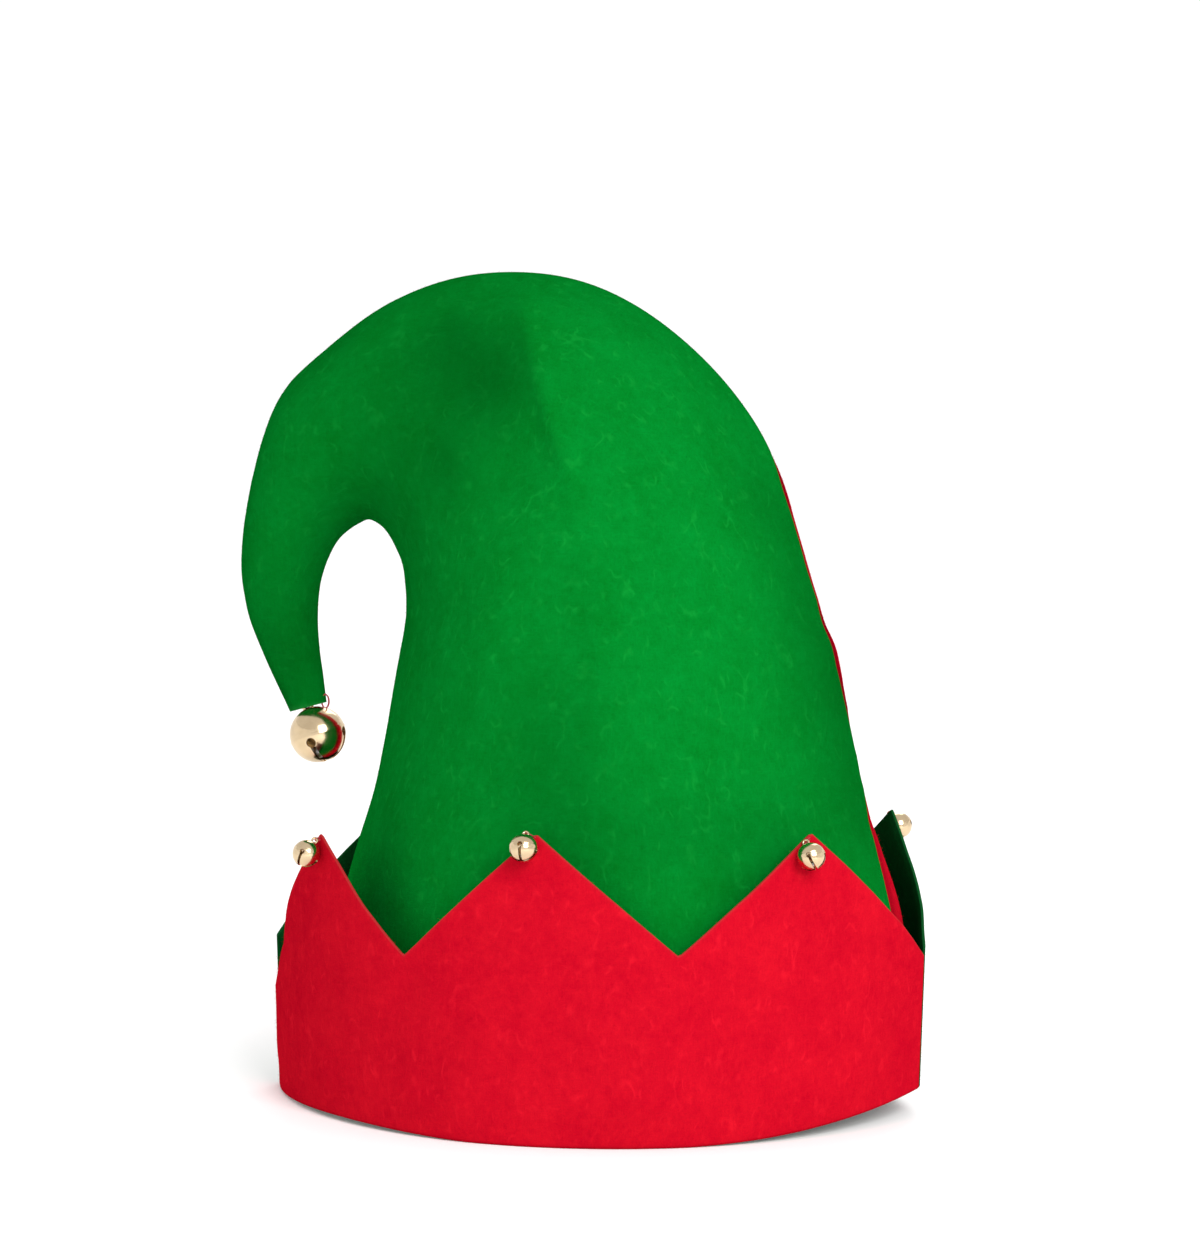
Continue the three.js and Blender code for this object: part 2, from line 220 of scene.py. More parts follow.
def makeFloor():
    profile = [(0, 0), (floor["flat"], 0)]
    for i in range(1, floor["steps"] + 1):
        bend = math.pi / 2 * i / floor["steps"]
        out = floor["flat"] + floor["curve"] * math.sin(bend)
        profile.append((out, floor["curve"] * (1 - math.cos(bend))))
    turns = floor["turns"]
    points = [(0, 0, 0)]
    for radius, height in profile[1:]:
        for k in range(turns):
            turn = 2 * math.pi * k / turns
            points.append((radius * math.cos(turn), radius * math.sin(turn), height))
    faces = [(0, 1 + k, 1 + (k + 1) % turns) for k in range(turns)]
    for ring in range(len(profile) - 2):
        for k in range(turns):
            a, b = 1 + ring * turns + k, 1 + ring * turns + (k + 1) % turns
            faces.append((a, a + turns, b + turns, b))
    mesh = bpy.data.meshes.new("floor")
    mesh.from_pydata(points, [], faces)
    mesh.shade_smooth()
    piece = bpy.data.objects.new("floor", mesh)
    scene.collection.objects.link(piece)
    material, start = newMaterial("floor")
    place = start.make("ShaderNodeTexCoord", out="Object")
    haze = start.make("ShaderNodeTexNoise", (), {"Vector": place, "Scale": 3, "Detail": 1})
    low = tuple(0.985 * part for part in floor["colour"])
    colour = haze.mixed((*low, 1), (*floor["colour"], 1))
    inputs = {
        "Base Color": colour,
        "Roughness": 0.9,
        "Specular IOR Level": 0.1,
        "Emission Color": (1, 1, 1, 1),
        "Emission Strength": floor["glow"],
    }
    finishMaterial(start, start.make("ShaderNodeBsdfPrincipled", (), inputs))
    mesh.materials.append(material)


makeFloor()
print("camera, lights and floor made")


# The hat's form. Shares of the sizes below give every place on it.
sizes = {
    "rimWidth": 227.5 * mm,
    "rimDepth": 170 * mm,
    "hatHeight": 283 * mm,
    "cuffHeight": 102 * mm,
    "cuffFlare": 3 * mm,
    "felt": 1.5 * mm,
    "clearance": 0.3 * mm,
    "tipHollow": 1.2 * mm,
    "arc": math.radians(72),
}
rimCentre = np.array((5.732 * mm, 0.065 * mm, 0))  # the side seams' middle, from the footprint's middle
sideOf = {"front": -1, "back": 1}

# rim to tip: both seams in X and Z, and the hollow under a panel
sectionColumns = ("innerX", "innerZ", "outerX", "outerZ", "hollow")
crownSections = [
    (-1.0, 0.0, 1.0, 0.0, 1.0),
    (-0.870, 0.145, 0.975, 0.16, 0.965),
    (-0.773, 0.28, 0.911, 0.301, 0.92),
    (-0.689, 0.386, 0.821, 0.407, 0.86),
    (-0.626, 0.516, 0.798, 0.53, 0.79),
    (-0.596, 0.583, 0.729, 0.596, 0.735),
    (-0.602, 0.636, 0.652, 0.692, 0.67),
    (-0.627, 0.663, 0.537, 0.798, 0.61),
    (-0.656, 0.682, 0.364, 0.887, 0.56),
    (-0.686, 0.693, 0.135, 0.958, 0.51),
    (-0.719, 0.698, -0.105, 0.994, 0.455),
    (-0.751, 0.693, -0.387, 0.996, 0.395),
    (-0.783, 0.685, -0.642, 0.964, 0.335),
    (-0.818, 0.672, -0.863, 0.904, 0.28),
    (-0.851, 0.649, -1.003, 0.849, 0.225),
    (-0.876, 0.617, -1.090, 0.758, 0.165),
    (-0.884, 0.577, -1.134, 0.66, 0.115),
    (-0.878, 0.538, -1.119, 0.59, 0.075),
    (-0.867, 0.507, -1.064, 0.531, 0.035),
    (-0.858, 0.474, -0.976, 0.461, 0.0),
]
# along, across, length, breadth, depth: along and length count sections, across and breadth are
# shares of the way from the middle to the outer seam, and depth is a share of rimDepth
crownDents = {
    "front": [
        (10.4, 0.0, 1.5, 0.5, 0.02),
        (8.0, 0.2, 1.2, 0.5, -0.015),
        (12.2, -0.75, 1.6, 0.3, 0.02),
        (5.4, -0.7, 1.2, 0.3, 0.02),
    ],
    "back": [(10.0, 0.0, 1.4, 0.5, 0.03), (5.0, -0.65, 1.0, 0.3, 0.02)],
}
# fromX, fromZ, toX, toZ, drop, steep, reach: places are shares of the half width and the height,
# the rest are shares of rimDepth, and so is the length over which a crease ends
crownCreases = {
    "front": [(-0.19, 0.97, -0.005, 0.805, 0.055, 0.055, 0.3), (0.15, 0.62, 0.18, 0.42, 0.012, 0.06, 0.2)],
    "back": [(-0.22, 0.95, -0.02, 0.77, 0.035, 0.05, 0.3)],
}
creaseEnd = 0.09
# how far the rim rises off the ground from the left seam to the right one, in shares of cuffHeight
rimRises = [(-0.004,), (0.015,), (-0.004,), (0.01,), (0.088,)]
# across, height, bell, drop, aside, from the left seam: height is a share of cuffHeight, and the
# bell's drop from the point and its step aside are shares of its diameter
zigzag = {
    "front": [
        (-1, 0.42, "", 0, 0),
        (-0.9, 0.5, "", 0, 0),
        (-0.8, 0.605, "", 0, 0),
        (-0.7, 0.735, "", 0, 0),
        (-0.548, 0.941, "left", 0.7, 0.1),
        (-0.282, 0.585, "", 0, 0),
        (0.032, 1, "middle", 0.43, 0.32),
        (0.33, 0.613, "", 0, 0),
        (0.625, 0.985, "right", 0.76, 0.34),
        (1, 0.525, "", 0, 0),
    ],
    "back": [
        (-1, 0.505, "", 0, 0),
        (-0.64, 0.91, "left", 0.65, 0.2),
        (-0.32, 0.6, "", 0, 0),
        (0.02, 0.98, "middle", 0.6, 0.2),
        (0.37, 0.6, "", 0, 0),
        (0.723, 0.964, "right", 0.72, 0.55),
        (1, 0.55, "", 0, 0),
    ],
}
arc = sizes["arc"]
halfRim = sizes["rimWidth"] / 2
crownHalfWidth = halfRim - sizes["felt"] / math.sin(arc) - sizes["clearance"]
rimHollow = sizes["rimDepth"] / 2 - 2 * sizes["felt"] - 1.5 * sizes["clearance"]


def acrossChord(v):
    return np.sin(v * arc) / math.sin(arc)


def overChord(v):
    return (np.cos(v * arc) - math.cos(arc)) / (1 - math.cos(arc))


# A column of a table at places counted in rows, on a smooth curve through the rows
def columnAt(table, column, row):
    values = np.array([line[column] for line in table])
    values = np.concatenate(([2 * values[0] - values[1]], values, [2 * values[-1] - values[-2]]))
    start = np.clip(np.floor(row).astype(int), 0, len(table) - 2)
    t = row - start
    a, b, c, d = (values[start + i] for i in range(4))
    rise, fall = (c - a) / 2, (d - b) / 2
    return b + t * (rise + t * (3 * (c - b) - 2 * rise - fall + t * (2 * (b - c) + rise + fall)))


def riseAt(v):
    return np.maximum(0, columnAt(rimRises, 0, (v + 1) / 2 * (len(rimRises) - 1))) * sizes["cuffHeight"]


def dentAt(panel, row, v):
    depth = 0
    for along, across, length, breadth, share in crownDents[panel]:
        depth = depth + share * np.exp(-(((row - along) / length) ** 2) - ((v - across) / breadth) ** 2)
    return depth * sizes["rimDepth"] * (1 - v**2)


# How far the creases let the felt drop at a place seen from the front
def creaseAt(panel, x, z):
    drop = 0
    for fromX, fromZ, toX, toZ, depth, steep, reach in crownCreases[panel]:
        start = np.array((fromX * crownHalfWidth, fromZ * sizes["hatHeight"]))
        line = np.array((toX * crownHalfWidth, toZ * sizes["hatHeight"])) - start
        length = np.linalg.norm(line)
        line = line / length
        away = np.stack((x, z), -1) - start
        along = away @ line
        aside = np.maximum(0, away[..., 0] * line[1] - away[..., 1] * line[0])
        past = np.maximum(0, np.maximum(-along, along - length)) / (creaseEnd * sizes["rimDepth"])
        shape = 1 - np.exp(-aside / (steep * sizes["rimDepth"]))
        shape = shape * np.exp(-((aside / (reach * sizes["rimDepth"])) ** 2) - past**2)
        drop = drop + depth * sizes["rimDepth"] * shape
    return drop


# Both ends of a crown section and the values that shape it, at a share u of the way from rim to tip
def sectionAt(u):
    row = u * (len(crownSections) - 1)
    return row, {name: columnAt(crownSections, i, row) for i, name in enumerate(sectionColumns)}


# Half the chord between the seams, and half the length of felt across a panel
def halfChord(u):
    at = sectionAt(u)[1]
    wide = (at["outerX"] - at["innerX"]) * crownHalfWidth
    tall = (at["outerZ"] - at["innerZ"]) * sizes["hatHeight"]
    return np.hypot(wide, tall) / 2


# Where the outer seam lies forward, so that the red back panel puffs out beside it. Places are
# shares of hatHeight, forward and puff are shares of rimDepth.
seamWaves = [
    {"at": 0.213, "spread": 0.0765, "forward": 0.034, "puff": 0.0205},
    {"at": 0.529, "spread": 0.048, "forward": 0.045, "puff": 0.0},
    {"at": 0.744, "spread": 0.032, "forward": 0.012, "puff": 0.0049},
]
seamBack = 0.01
seamFrom, seamTo = 12, 0.44  # how fast the waves begin above the rim, and where they end below the tip
# height and how far in the seam is tucked there, in shares of hatHeight and of rimDepth
seamTucks = [
    (0.0, 0.0),
    (0.12, 0.0),
    (0.24, 0.0129),
    (0.29, 0.0197),
    (0.33, 0.021),
    (0.37, 0.0041),
    (0.41, -0.0013),
    (0.45, 0.0066),
    (0.49, 0.0152),
    (0.53, 0.0204),
    (0.57, 0.0181),
    (0.61, 0.0146),
    (0.65, 0.0179),
    (0.69, 0.0148),
    (0.73, 0.0083),
    (0.77, 0.0025),
    (0.82, 0.0001),
    (1.0, -0.0004),
]
puffAt, puffBreadth = 0.9, 0.08  # shares of the way from the panel's middle to the outer seam
innerSeamShift = 1.3 * mm


# The seam's place forward, its tuck and the puff beside it, at a share u of the way to the tip
def seamAt(u, height):
    body = 1 - np.clip((u - seamTo) * 15, 0, 1)
    forward, puff = -seamBack, 0
    for wave in seamWaves:
        near = body * np.exp(-(((height - wave["at"]) / wave["spread"]) ** 2))
        forward, puff = forward + wave["forward"] * near, puff + wave["puff"] * near
    forward = forward * np.clip(height * seamFrom, 0, 1)
    return forward, np.interp(height, *zip(*seamTucks)) * body, puff


# A point of the crown; inset goes inwards through the felt, and swell lifts it off the section
def crownPoint(panel, u, v, inset=0.0, swell=0.0):
    row, at = sectionAt(u)
    scale = np.array((crownHalfWidth, sizes["hatHeight"]))
    inner = np.stack((at["innerX"], at["innerZ"]), -1) * scale
    outer = np.stack((at["outerX"], at["outerZ"]), -1) * scale
    middle, half = (inner + outer) / 2, (outer - inner) / 2
    length = np.linalg.norm(half, axis=-1)
    unit = half / length[..., None]
    nearSeam = sizes["rimDepth"] * np.maximum(0, v) ** 8 * np.clip(20 * (1 - u), 0, 1)
    forward, tuck, puff = seamAt(u, at["outerZ"])
    along = (length - inset / math.sin(arc)) * acrossChord(v) - tuck * nearSeam
    if panel == "back":
        beside = np.exp(-(((v - puffAt) / puffBreadth) ** 2)) * np.clip((1 - v) * 20, 0, 1)
        along = along + puff * sizes["rimDepth"] * beside
    hidden = np.maximum(0, -v) ** 8 * np.clip((u - 0.3) * 8, 0, 1) * innerSeamShift
    place = middle + unit * along[..., None]
    reach = sizes["tipHollow"] + at["hollow"] * (rimHollow - sizes["tipHollow"]) + sizes["felt"] - inset
    creases = creaseAt(panel, place[..., 0], place[..., 1]) * (1 - v**2)
    dent = (dentAt(panel, row, v) + creases) * np.minimum(1, at["hollow"] * 3)
    out = sizes["clearance"] / 2 + np.maximum(0, reach * overChord(v) - dent) + swell
    rise = riseAt(v) * np.maximum(0, 1 - 4 * u)
    deep = sideOf[panel] * out - forward * nearSeam + hidden
    return np.stack((place[..., 0], deep, place[..., 1] + rise), -1) + rimCentre


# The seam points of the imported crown, without the finer seam path
def crownPlain(panel, u, v):
    at = sectionAt(u)[1]
    x, z = (at["innerX"], at["innerZ"]) if v < 0 else (at["outerX"], at["outerZ"])
    return np.stack((x * crownHalfWidth, 0 * x, z * sizes["hatHeight"]), -1) + rimCentre


def zigzagHeight(panel, v):
    places, heights = zip(*((corner[0], corner[1]) for corner in zigzag[panel]))
    soft = 0.003  # share of the panel over which a point is rounded
    spread = [np.interp(v + step, places, heights) for step in (-soft, 0, 0, soft)]
    return sum(spread) / 4 * sizes["cuffHeight"]


# A point of the cuff: u from the rim up to the zigzag, v from the left seam to the right one
def cuffPoint(panel, u, v, inset=0.0, swell=0.0, peak=None):
    rise = u * (peak or zigzagHeight(panel, v))
    flare = sizes["cuffFlare"] * rise / sizes["cuffHeight"]
    across = (halfRim + flare - inset / math.sin(arc) + swell) * acrossChord(v)
    reach = sizes["rimDepth"] / 2 - sizes["clearance"] / 2 + flare - inset + swell
    out = sizes["clearance"] / 2 + reach * overChord(v)
    return np.stack((across, sideOf[panel] * out, rise + riseAt(v) * (1 - u)), -1) + rimCentre


# Smooth unevenness, from -1 to 1, with a seeded sum of waves
def unevenness(points, wavelength, seed, waves=14):
    draw = np.random.RandomState(seed)
    total = 0
    for _ in range(waves):
        direction = draw.normal(size=3)
        direction *= draw.uniform(0.6, 1.5) / np.linalg.norm(direction)
        start = draw.uniform(0, 2 * math.pi)
        total = total + np.sin(points @ direction * 2 * math.pi / wavelength + start)
    return total / math.sqrt(waves) / 1.5


# strength, wavelength and seed of each layer
def layered(points, layers):
    return sum(strength * unevenness(points, wavelength, seed) for strength, wavelength, seed in layers)


def meshObject(name, points, faces, material, smoothAngle=math.radians(50)):
    mesh = bpy.data.meshes.new(name)
    mesh.from_pydata([tuple(p) for p in points], [], [tuple(f) for f in faces])
    mesh.materials.append(material)
    piece = bpy.data.objects.new(name, mesh)
    scene.collection.objects.link(piece)
    shape = bmesh.new()
    shape.from_mesh(mesh)
    if shape.calc_volume(signed=True) < 0:
        bmesh.ops.reverse_faces(shape, faces=shape.faces)
    shape.to_mesh(mesh)
    shape.free()
    mesh.shade_smooth()
    mesh.set_sharp_from_angle(angle=smoothAngle)
    return piece


# How far a rounded edge pulls the felt's faces in, at a distance from that edge
def roundedEdge(distance, radius):
    near = np.clip(1 - distance / radius, 0, 1)
    return radius * (1 - np.sqrt(1 - near**2))


# A panel with thickness: outer and inner sheets over one grid, joined along all four edges.
# marks are attributes on both sheets, except outside, which is 0 on the inner one.
def panelObject(name, outer, inner, marks, material):
    rows, columns = outer.shape[:2]
    count = rows * columns
    points = np.concatenate((outer.reshape(-1, 3), inner.reshape(-1, 3)))
    index = np.arange(count).reshape(rows, columns)
    corners = index[:-1, :-1], index[:-1, 1:], index[1:, 1:], index[1:, :-1]
    a, b, c, d = (part.ravel() for part in corners)
    quads = [np.stack((a, b, c, d), -1), np.stack((d, c, b, a), -1) + count]
    loop = np.concatenate((index[0, :], index[1:, -1], index[-1, -2::-1], index[-2:0:-1, 0]))
    after = np.roll(loop, -1)
    quads.append(np.stack((after, loop, loop + count, after + count), -1))
    piece = meshObject(name, points, np.concatenate(quads), material)
    for label, values in marks.items():
        mark = piece.data.attributes.new(label, "FLOAT", "POINT")
        under = values.ravel() * (0 if label == "outside" else 1)
        mark.data.foreach_set("value", np.concatenate((values.ravel(), under)).astype(np.float32))
    return piece


looks = {
    "crownRows": 200,
    "crownColumns": 72,
    "cuffRows": 44,
    "cuffColumns": 250,
    "seamRound": 1.3 * mm,
    "edgeRound": 0.25 * mm,
    "rimRound": 1.2 * mm,
}
seamSteps = np.array((0, 0.06, 0.14, 0.25, 0.38, 0.55, 0.75))


# Places across a panel, closer together beside both seams
def acrossPlaces(reach, columns, edge=2.4 * mm):
    share = np.minimum(edge / reach, 0.2)[:, None]
    low = -1 + seamSteps * share
    middle = (-1 + share) + (2 - 2 * share) * np.linspace(0, 1, columns)
    return np.concatenate((low, middle, -low[:, ::-1]), 1)


# Painted shade on the front panel's felt: darker patches that stand in for the shading of its dents, creases
# and sides. Places and spreads are shares of its half width and height
shadePatches = [
    {"x": -0.38, "z": 0.89, "wide": 0.26, "tall": 0.065, "turn": -0.2, "dark": 0.5},
    {"x": -0.38, "z": 0.935, "wide": 0.11, "tall": 0.04, "turn": 0.0, "dark": 0.34},
    {"x": -0.22, "z": 0.865, "wide": 0.14, "tall": 0.085, "turn": 0.0, "dark": 0.42},
    {"x": -0.36, "z": 0.767, "wide": 0.09, "tall": 0.045, "turn": 0.0, "dark": 0.4},
    {"x": -0.58, "z": 0.79, "wide": 0.3, "tall": 0.125, "turn": 0.0, "dark": 0.52},
    {"x": -0.93, "z": 0.53, "wide": 0.2, "tall": 0.15, "turn": 0.0, "dark": 0.7},
    {"x": 0.8, "z": 0.5, "wide": 0.12, "tall": 0.2, "turn": 0.3, "dark": 0.6},
    {"x": 0.5, "z": 0.77, "wide": 0.07, "tall": 0.08, "turn": 0.6, "dark": 0.5},
    {"x": 0.03, "z": 0.44, "wide": 0.2, "tall": 0.1, "turn": 0.0, "dark": 0.34},
    {"x": 0.42, "z": 0.35, "wide": 0.5, "tall": 0.055, "turn": 0.0, "dark": 0.3},
]


def shadeAt(x, z):
    dark = 0
    for patch in shadePatches:
        away = (x - patch["x"]) * crownHalfWidth, (z - patch["z"]) * sizes["hatHeight"]
        turned = (
            away[0] * math.cos(patch["turn"]) + away[1] * math.sin(patch["turn"]),
            away[1] * math.cos(patch["turn"]) - away[0] * math.sin(patch["turn"]),
        )
        wide, tall = patch["wide"] * crownHalfWidth, patch["tall"] * sizes["hatHeight"]
        dark = dark + patch["dark"] * np.exp(-((turned[0] / wide) ** 2) - (turned[1] / tall) ** 2)
    # painted light: high up, on the far side of the top crease's line, most of the painted shade is taken
    # off, like the lit side of a ridge
    fromX, fromZ, toX, toZ = crownCreases["front"][0][:4]
    past = (x - fromX - (z - fromZ) * (toX - fromX) / (toZ - fromZ)) * crownHalfWidth
    lit = np.clip(past / (5 * mm), 0, 1) * np.clip((z - 0.7) * 12, 0, 1)
    return np.clip(dark * (1 - 0.85 * lit), 0, 1)


crownLook = {
    "waves": [(1.3, 95 * mm, 4), (0.5, 34 * mm, 7), (0.16, 11 * mm, 9)],
    "pucker": (0.35, 9 * mm, 12),
    "puckerReach": 7 * mm,
    "calmBesideSeam": 9 * mm,
    "calmBelow": 0.06,
    "calmRise": 0.05,
    "dive": 1.0 * mm,
    "diveReach": 3 * mm,
    # painted shade: the fold reach and depth darken the felt in the fold beside each seam, the side reach and
    # depth darken the front panel along its outer side
    "foldReach": {"front": 2.6 * mm, "back": 5 * mm},
    "foldShadeDepth": {"front": 0.5, "back": 1.33},
    "sideReach": 20 * mm,
    "sideShadeDepth": 0.22,
    "edgeReach": 0.7 * mm,
}


def makeCrown(panel, material):
    look = crownLook
    ends = np.array((0, 0.15, 0.35, 0.6, 1)) * 1.2 * mm
    u = np.unique(np.concatenate((ends, np.linspace(0, 1, looks["crownRows"]), 1 - ends)))
    reach = halfChord(u) * arc / math.sin(arc)
    v = acrossPlaces(reach, looks["crownColumns"])
    u = np.repeat(u[:, None], v.shape[1], 1)
    plain = crownPoint(panel, u, v)
    row, at = sectionAt(u)
    fromSeam = (1 - np.abs(v)) * reach[:, None]
    free = 1 - np.exp(-((fromSeam / look["calmBesideSeam"]) ** 2))
    above = np.clip((plain[..., 2] - look["calmBelow"]) / look["calmRise"], 0, 1)
    size = np.clip(at["hollow"] * 2.2, 0, 1)
    waves = layered(plain, look["waves"])
    near = np.exp(-((fromSeam / look["puckerReach"]) ** 2)) * (1 - np.exp(-fromSeam / mm))
    pucker = layered(plain, [look["pucker"]]) * near
    swell = (waves * free * size + pucker * np.clip(size * 3, 0, 1)) * above * mm
    # each panel dives under the other one where that one reaches round the side
    dives = np.clip(-seamAt(u, at["outerZ"])[0] / 0.008, 0, 1)
    dives = np.where(v > 0, dives, np.clip((u - 0.4) * 6, 0, 1)) * above
    groove = roundedEdge(fromSeam, looks["seamRound"]) * np.clip(at["hollow"] * 20 + 0.3, 0, 1)
    if panel == "back":
        groove = groove + look["dive"] * dives * np.exp(-((fromSeam / look["diveReach"]) ** 2))
    else:
        groove = groove * (1 - 0.75 * dives)
    fromTip = (1 - u) * 0.5
    cut = roundedEdge(np.minimum(fromTip, u * 0.5), looks["edgeRound"])
    outer = crownPoint(panel, u, v, np.minimum(groove + cut, sizes["felt"] * 0.85), swell)
    inner = crownPoint(panel, u, v, sizes["felt"] - cut * 0.6, swell)
    x, z = (plain[..., 0] - rimCentre[0]) / crownHalfWidth, plain[..., 2] / sizes["hatHeight"]
    # painted shade: darker felt in the fold beside each seam; on the front also the painted shade patches and
    # a band along the outer side, on the back less of it low down beside the cuff
    seamFoldShade = look["foldShadeDepth"][panel] * np.exp(-((fromSeam / look["foldReach"][panel]) ** 2))
    if panel == "front":
        beside = np.exp(-((fromSeam / look["sideReach"]) ** 2)) * np.clip((v - 0.4) * 4, 0, 1)
        dark = np.maximum(shadeAt(x, z) + look["sideShadeDepth"] * beside, seamFoldShade)
    else:
        dark = seamFoldShade * (1 - 0.35 * np.clip((0.105 - plain[..., 2]) / 0.01, 0, 1))
    dark = np.clip(dark, 0, 1.33)
    marks = {"edge": np.exp(-fromTip / look["edgeReach"]), "outside": above, "shade": dark}
    return panelObject(f"crown_{panel}_felt", outer, inner, marks, material)


cuffLook = {
    "waves": [(0.9, 70 * mm, 21), (0.4, 26 * mm, 23)],
    "fine": (0.12, 9 * mm, 25),
    "calmBesideSeam": 12 * mm,
    "calmAboveRim": 12 * mm,
    "calmBesideBell": (16 * mm, 18 * mm),
    "lean": 3 * mm,
    "thinned": 0.55 * mm,
    "thinReach": 2.5 * mm,
    # painted shade lines beside the seams and along the rim: their depth and reach
    "seamShadeLine": (0.6, 1.3 * mm),
    "rimShadeLine": (0.5, mm),
    "edgeReach": 0.5 * mm,
    "bareRim": 1.5 * mm,
}


def makeCuff(panel, material):
    look = cuffLook
    ends = np.array((0, 0.12, 0.3, 0.55, 1))
    base = np.linspace(0, 1, looks["cuffRows"])
    reach = np.array([halfRim * arc / math.sin(arc)])
    v = acrossPlaces(reach, looks["cuffColumns"])[0]
    height = zigzagHeight(panel, v)
    rim, top = ends * 1.4 * mm, ends * 0.8 * mm
    start, stop = rim[-1] / height, 1 - top[-1] / height
    rows = [r / height for r in rim[:-1]]
    rows += [start + (stop - start) * share for share in base]
    rows += [1 - t / height for t in top[:-1][::-1]]
    u = np.array(rows)
    v = np.repeat(v[None, :], len(rows), 0)
    plain = cuffPoint(panel, u, v)
    fromSeam = (1 - np.abs(v)) * reach[0]
    fromRim, fromTop = u * height, (1 - u) * height
    free = 1 - np.exp(-((fromSeam / look["calmBesideSeam"]) ** 2))
    for across, share, bell, _, _ in zigzag[panel]:
        if bell:
            wide, tall = look["calmBesideBell"]
            low = plain[..., 2] - share * sizes["cuffHeight"] + 6 * mm
            near = ((v - across) * halfRim / wide) ** 2 + (low / tall) ** 2
            free = free * (1 - np.exp(-near))
    waves = layered(plain, look["waves"])
    waves = np.maximum(waves + 0.7, 0) + layered(plain, [look["fine"]])
    swell = waves * free * np.clip(fromRim / look["calmAboveRim"], 0, 1) * mm
    if panel == "front":  # the left point leans in beside its seam
        leans = np.exp(-(((v + 0.94) / 0.21) ** 2)) * np.clip((plain[..., 2] - 0.036) / 0.016, 0, 1)
        swell = swell * (1 - leans) - look["lean"] * leans
        swell = swell - 0.5 * mm * np.clip(1 - (v + 1) / 0.1, 0, 1) * np.clip(fromRim / (8 * mm), 0, 1)
    groove = roundedEdge(fromSeam, looks["seamRound"])
    cut = roundedEdge(fromTop, looks["edgeRound"])
    roll = roundedEdge(fromRim, looks["rimRound"])
    thin = look["thinned"] * np.exp(-((fromTop / look["thinReach"]) ** 2))
    outer = cuffPoint(panel, u, v, np.minimum(groove + cut + roll, sizes["felt"] * 0.7), swell)
    inner = cuffPoint(panel, u, v, sizes["felt"] - thin - cut, swell)
    # painted shade: a dark line beside each seam and along the rim
    shades = (fromSeam, *look["seamShadeLine"]), (fromRim, *look["rimShadeLine"])
    dark = np.maximum(*(depth * np.exp(-((away / reach) ** 2)) for away, depth, reach in shades))
    hairy = np.clip((fromRim - look["bareRim"]) / mm, 0, 1)
    marks = {"edge": np.exp(-((fromTop / look["edgeReach"]) ** 2)), "outside": hairy, "shade": dark}
    return panelObject(f"cuff_{panel}_felt", outer, inner, marks, material)


pieces = {}
for panel, crownFelt, cuffFelt in (("front", "green", "red"), ("back", "red", "darkGreen")):
    pieces[f"crown_{panel}"] = makeCrown(panel, feltMaterials[crownFelt])
    pieces[f"cuff_{panel}"] = makeCuff(panel, feltMaterials[cuffFelt])
for node, piece in pieces.items():
    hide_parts(node)
    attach(piece, "root")
print("felt panels made")


# Gold plate, with faint dimples from stamping and duller patches
def goldMaterial():
    material, start = newMaterial("gold")
    place = start.make("ShaderNodeTexCoord", out="Object")
    wear = start.make("ShaderNodeTexNoise", (), {"Vector": place, "Scale": 260, "Detail": 3})
    dimples = start.make("ShaderNodeTexNoise", (), {"Vector": place, "Scale": 420, "Detail": 1})
    scratch = start.make("ShaderNodeTexNoise", (), {"Vector": place, "Scale": 3200, "Detail": 2})
    colour = wear.mixed((0.60, 0.45, 0.27, 1), (0.80, 0.63, 0.41, 1))
    height = dimples * 0.8 + scratch * 0.2
    bump = start.make("ShaderNodeBump", (), {"Strength": 0.12, "Distance": 0.25 * mm, "Height": height})
    inputs = {"Base Color": colour, "Metallic": 1.0, "Roughness": 0.1 + wear * 0.16, "Normal": bump}
    finishMaterial(start, start.make("ShaderNodeBsdfPrincipled", (), inputs))
    return material


def steelMaterial():
    material, start = newMaterial("steel")
    place = start.make("ShaderNodeTexCoord", out="Object")
    wear = start.make("ShaderNodeTexNoise", (), {"Vector": place, "Scale": 700, "Detail": 3})
    colour = wear.mixed((0.42, 0.42, 0.41, 1), (0.58, 0.57, 0.55, 1))
    inputs = {"Base Color": colour, "Metallic": 1.0, "Roughness": 0.25 + wear * 0.2}
    finishMaterial(start, start.make("ShaderNodeBsdfPrincipled", (), inputs))
    return material


# Sewing thread, with its twist as fine slanting ribs and painted shade in the grooves between them
def threadMaterial(name, colour):
    material, start = newMaterial(name)
    place = start.make("ShaderNodeTexCoord", out="Object")
    settings = {"wave_type": "BANDS", "bands_direction": "DIAGONAL"}
    inputs = {"Vector": place, "Scale": 1400, "Distortion": 1.5}
    ribs = start.make("ShaderNodeTexWave", settings, inputs, out="Fac")
    # painted shade: the ribs' low grooves are darker
    shade = ribs.mixed((*[0.6 * part for part in colour], 1), (*colour, 1))
    bump = start.make("ShaderNodeBump", (), {"Strength": 0.5, "Distance": 0.05 * mm, "Height": ribs})
    inputs = {"Base Color": shade, "Roughness": 0.7, "Sheen Weight": 0.1, "Normal": bump}
    finishMaterial(start, start.make("ShaderNodeBsdfPrincipled", (), inputs))
    return material


gold, steel = goldMaterial(), steelMaterial()
threads = {
    "front": threadMaterial("red_thread", (0.42, 0.02, 0.03)),
    "back": threadMaterial("dark_green_thread", (0.006, 0.09, 0.02)),
}
for name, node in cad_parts.items():
    if name.endswith("pellet"):
        node.data.materials.clear()
        node.data.materials.append(steel)

# A jingle bell round its own centre, with a rolled lip at its middle, a cross of slots and a ring
tipBell = {"radius": 9.8 * mm, "wall": 0.7 * mm, "slot": 1.8 * mm, "wire": 0.6 * mm, "ring": 2.1 * mm}
cuffBell = {"radius": 4.6 * mm, "wall": 0.5 * mm, "slot": 0.9 * mm, "wire": 0.35 * mm, "ring": 0.9 * mm}
tipBellGap = 0.3 * mm
bellSteps = {"sides": 72, "arcs": 44, "ringSides": 32, "wireSides": 10}


